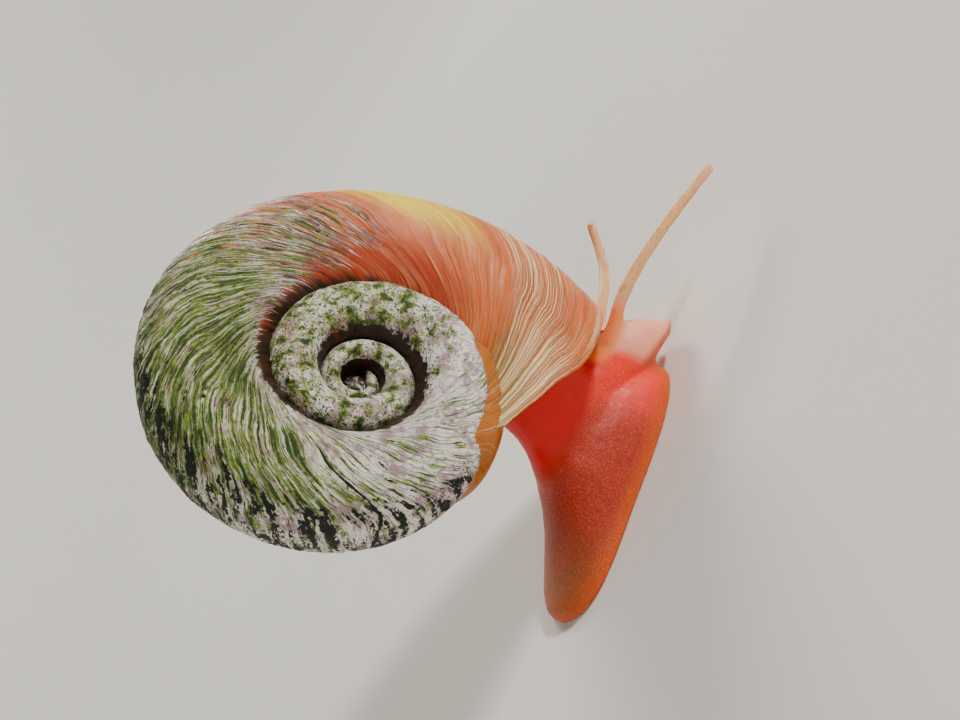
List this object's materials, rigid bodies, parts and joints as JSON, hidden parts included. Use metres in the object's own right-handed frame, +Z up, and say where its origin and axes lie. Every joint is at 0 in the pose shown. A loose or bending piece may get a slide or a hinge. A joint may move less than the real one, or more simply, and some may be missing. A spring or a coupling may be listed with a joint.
{
  "type": "ramshorn snail",
  "caption": "Red great ramshorn snail with a flat coiled shell, crawling on its foot with both tentacles stretched forward, as a still life-size model.",
  "frame": {"origin": "on the ground under the middle of the sole", "axes": "+X forward along the crawling foot, +Y to the snail's left, +Z up"},
  "size_m": [0.0365, 0.0182, 0.0314],
  "materials": {
    "shell_amber": "translucent amber shell with fine cream growth lines, satin sheen",
    "shell_crust": "old shell under a rough pale lime crust with green algae and dark bare patches",
    "flesh_coral": "moist coral-red skin with fine pale specks",
    "flesh_deep": "moist deep red skin",
    "flesh_pale": "moist pale pink, slightly clear skin",
    "flesh_tail": "moist dull orange-red skin",
    "eye": "glossy black"
  },
  "bodies": {
    "root": {"body_stalk": "flesh_deep", "eye_left": "eye", "eye_right": "eye", "foot_front": "flesh_coral", "foot_middle": "flesh_coral", "foot_rear": "flesh_coral", "foot_tail": "flesh_tail", "head": "flesh_pale", "mantle_collar": "flesh_deep", "shell_apex": "shell_crust", "shell_body_whorl_back": "shell_crust", "shell_body_whorl_front": "shell_amber", "shell_body_whorl_inner": "shell_crust", "shell_lip": "shell_amber", "shell_second_whorl": "shell_crust", "shell_spire": "shell_crust", "tentacle_left_base": "flesh_pale", "tentacle_left_middle": "flesh_pale", "tentacle_left_tip": "flesh_pale", "tentacle_right_base": "flesh_pale", "tentacle_right_middle": "flesh_pale", "tentacle_right_tip": "flesh_pale"}
  },
  "joints": []
}
